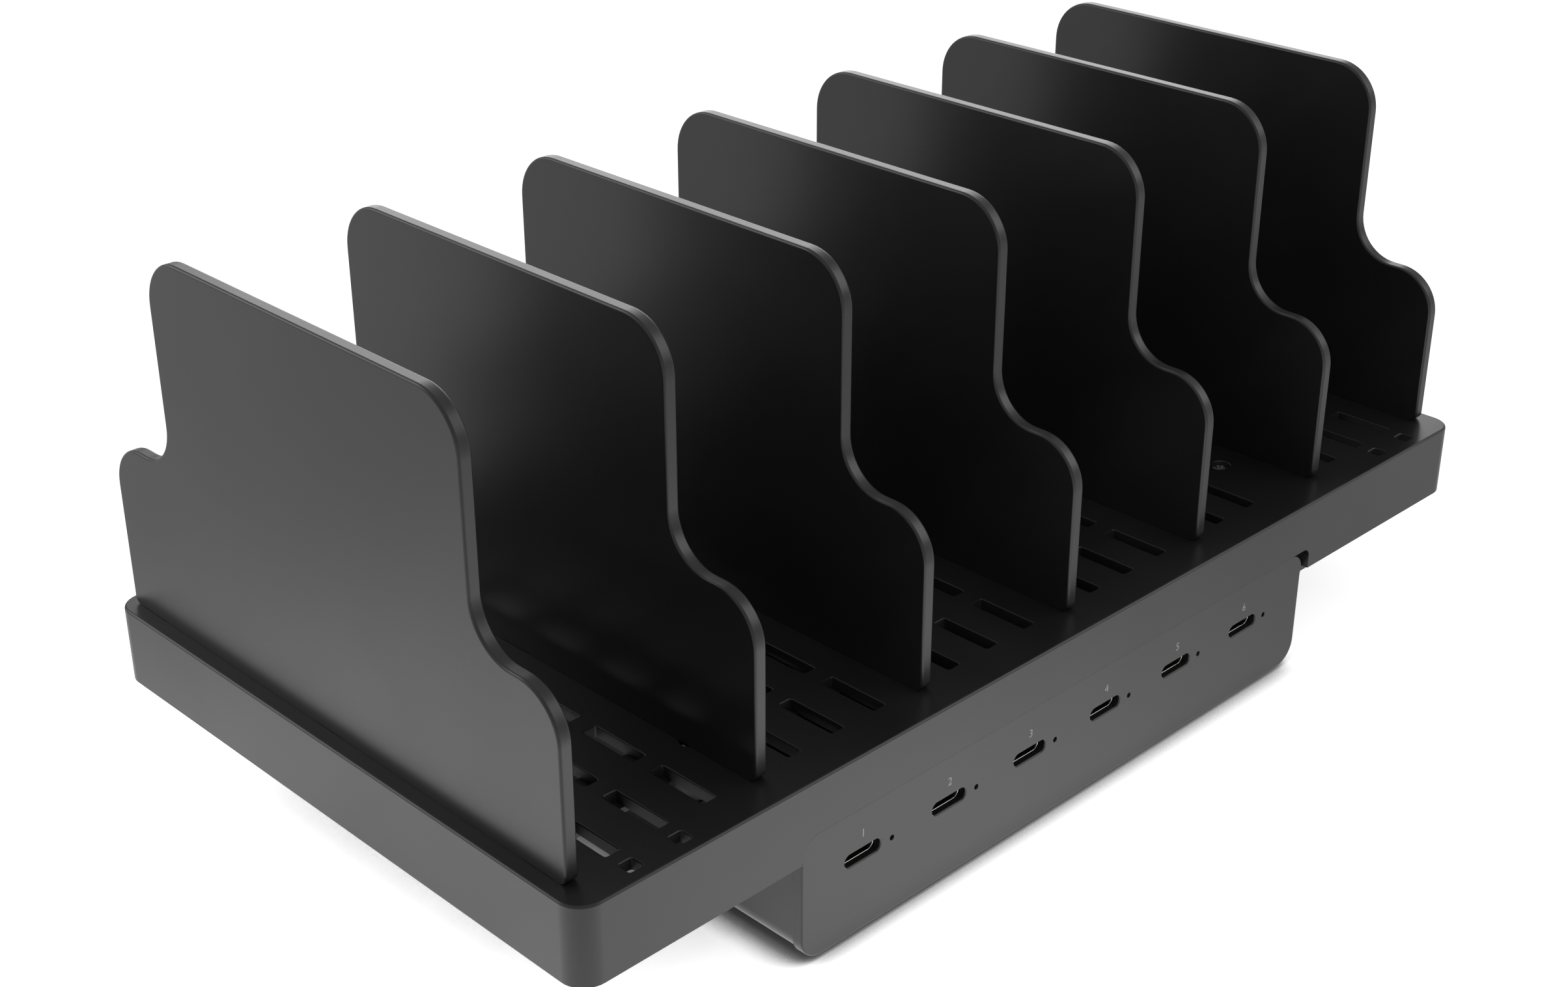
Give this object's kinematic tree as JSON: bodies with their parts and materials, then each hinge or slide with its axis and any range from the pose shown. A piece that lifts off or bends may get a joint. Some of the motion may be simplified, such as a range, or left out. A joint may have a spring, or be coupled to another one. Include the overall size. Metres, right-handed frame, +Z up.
{
  "type": "usb charging station",
  "caption": "Desk charging station: a vented deck on a charger unit with a row of USB-C sockets, and stepped lift-out dividers that hold phones and tablets upright.",
  "frame": {"origin": "on the table, under the middle of the deck", "axes": "+X along the front from left to right, +Y from front to back, +Z up"},
  "size_m": [0.26, 0.14, 0.1164],
  "materials": {
    "charcoal_plastic": "fine matte charcoal",
    "divider_plastic": "satin charcoal",
    "black_plastic": "satin black",
    "socket_plating": "nickel-plated, drawn",
    "tongue_plastic": "black moulding",
    "clear_plastic": "clear, slightly milky",
    "circuit_board": "green solder mask",
    "ferrite": "dull sintered",
    "winding_tape": "yellow film tape",
    "heat_sink_metal": "extruded, plain",
    "bright_metal": "bright zinc or nickel",
    "rubber": "matte"
  },
  "bodies": {
    "station": {"deck": "charcoal_plastic", "front_fascia": "charcoal_plastic", "lower_case": "charcoal_plastic", "rear_panel": "charcoal_plastic", "top_cover": "black_plastic", "inlet_body": "black_plastic", "switch_frame": "black_plastic", "bulk_capacitor_1": "black_plastic", "bulk_capacitor_2": "black_plastic", "front_strap": "black_plastic", "rear_strap": "black_plastic", "usb_c_shell_1": "socket_plating", "usb_c_shell_2": "socket_plating", "usb_c_shell_3": "socket_plating", "usb_c_shell_4": "socket_plating", "usb_c_shell_5": "socket_plating", "usb_c_shell_6": "socket_plating", "usb_c_tongue_1": "tongue_plastic", "usb_c_tongue_2": "tongue_plastic", "usb_c_tongue_3": "tongue_plastic", "usb_c_tongue_4": "tongue_plastic", "usb_c_tongue_5": "tongue_plastic", "usb_c_tongue_6": "tongue_plastic", "light_pipe_1": "clear_plastic", "light_pipe_2": "clear_plastic", "light_pipe_3": "clear_plastic", "light_pipe_4": "clear_plastic", "light_pipe_5": "clear_plastic", "light_pipe_6": "clear_plastic", "port_board": "circuit_board", "power_board": "circuit_board", "transformer_core": "ferrite", "choke": "ferrite", "transformer_winding": "winding_tape", "heat_sink_1": "heat_sink_metal", "heat_sink_2": "heat_sink_metal", "fuse": "bright_metal", "inlet_pin_left": "bright_metal", "inlet_pin_right": "bright_metal", "deck_screw_1": "bright_metal", "deck_screw_2": "bright_metal", "deck_screw_3": "bright_metal", "deck_screw_4": "bright_metal", "case_screw_1": "bright_metal", "case_screw_2": "bright_metal", "case_screw_3": "bright_metal", "case_screw_4": "bright_metal", "rubber_foot_1": "rubber", "rubber_foot_2": "rubber", "rubber_foot_3": "rubber", "rubber_foot_4": "rubber"},
    "divider_1": {"divider_1": "divider_plastic"},
    "divider_2": {"divider_2": "divider_plastic"},
    "divider_3": {"divider_3": "divider_plastic"},
    "divider_4": {"divider_4": "divider_plastic"},
    "divider_5": {"divider_5": "divider_plastic"},
    "divider_6": {"divider_6": "divider_plastic"},
    "divider_7": {"divider_7": "divider_plastic"},
    "rocker": {"power_rocker": "black_plastic"}
  },
  "joints": [
    {"name": "divider_1_lift", "type": "slide", "parent": "station", "child": "divider_1", "axis": [0, 0, 1], "range_m": [0, 0.02]},
    {"name": "divider_2_lift", "type": "slide", "parent": "station", "child": "divider_2", "axis": [0, 0, 1], "range_m": [0, 0.02]},
    {"name": "divider_3_lift", "type": "slide", "parent": "station", "child": "divider_3", "axis": [0, 0, 1], "range_m": [0, 0.02]},
    {"name": "divider_4_lift", "type": "slide", "parent": "station", "child": "divider_4", "axis": [0, 0, 1], "range_m": [0, 0.02]},
    {"name": "divider_5_lift", "type": "slide", "parent": "station", "child": "divider_5", "axis": [0, 0, 1], "range_m": [0, 0.02]},
    {"name": "divider_6_lift", "type": "slide", "parent": "station", "child": "divider_6", "axis": [0, 0, 1], "range_m": [0, 0.02]},
    {"name": "divider_7_lift", "type": "slide", "parent": "station", "child": "divider_7", "axis": [0, 0, 1], "range_m": [0, 0.02]},
    {"name": "rocker_tilt", "type": "hinge", "parent": "station", "child": "rocker", "pos_m": [0.03045, 0.0645, 0.012], "axis": [0, 0, 1], "range_deg": [0, 16]}
  ]
}
